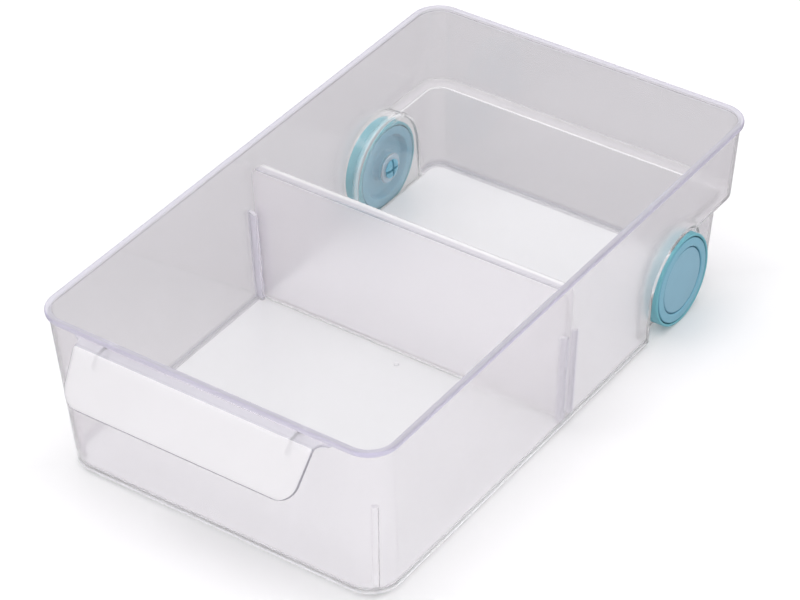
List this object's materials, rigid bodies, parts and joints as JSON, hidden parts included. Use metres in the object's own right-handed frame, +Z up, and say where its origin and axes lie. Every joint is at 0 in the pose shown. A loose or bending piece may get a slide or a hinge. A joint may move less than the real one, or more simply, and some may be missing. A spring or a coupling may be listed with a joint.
{
  "type": "wheeled fridge organizer bin",
  "caption": "Clear moulded fridge bin with a sloping pull handle on its front rim, a lift-out divider held between guide ribs and snap-in wheels in pockets at the rear.",
  "frame": {"origin": "under the middle of the object's box, handle included, on the surface that it stands on", "axes": "+X to the right seen from the handle, +Y from the handle to the wheels, +Z up"},
  "size_m": [0.21, 0.3732, 0.0992],
  "materials": {
    "clear_bin": "clear, slightly hazy injection-moulded plastic",
    "clear_divider": "clear, slightly hazy injection-moulded plastic",
    "wheel_plastic": "satin moulded teal plastic",
    "cap_plastic": "fine matt moulded teal plastic",
    "tread": "soft moulded tread, satin"
  },
  "bodies": {
    "bin": {"bin_body": "clear_bin"},
    "lift_out_divider": {"divider": "clear_divider"},
    "right_wheel": {"wheel_right": "wheel_plastic", "tyre_right": "tread", "hub_cap_right": "cap_plastic", "snap_axle_right": "wheel_plastic"},
    "left_wheel": {"wheel_left": "wheel_plastic", "tyre_left": "tread", "hub_cap_left": "cap_plastic", "snap_axle_left": "wheel_plastic"}
  },
  "joints": [
    {"name": "divider_lift", "type": "slide", "parent": "bin", "child": "lift_out_divider", "axis": [0, 0, 1], "range_m": [0, 0.058]},
    {"name": "right_wheel_spin", "type": "hinge", "parent": "bin", "child": "right_wheel", "pos_m": [0.0965, 0.12245, 0.0265], "axis": [1, 0, 0], "continuous": true},
    {"name": "left_wheel_spin", "type": "hinge", "parent": "bin", "child": "left_wheel", "pos_m": [-0.0965, 0.12245, 0.0265], "axis": [1, 0, 0], "continuous": true}
  ]
}
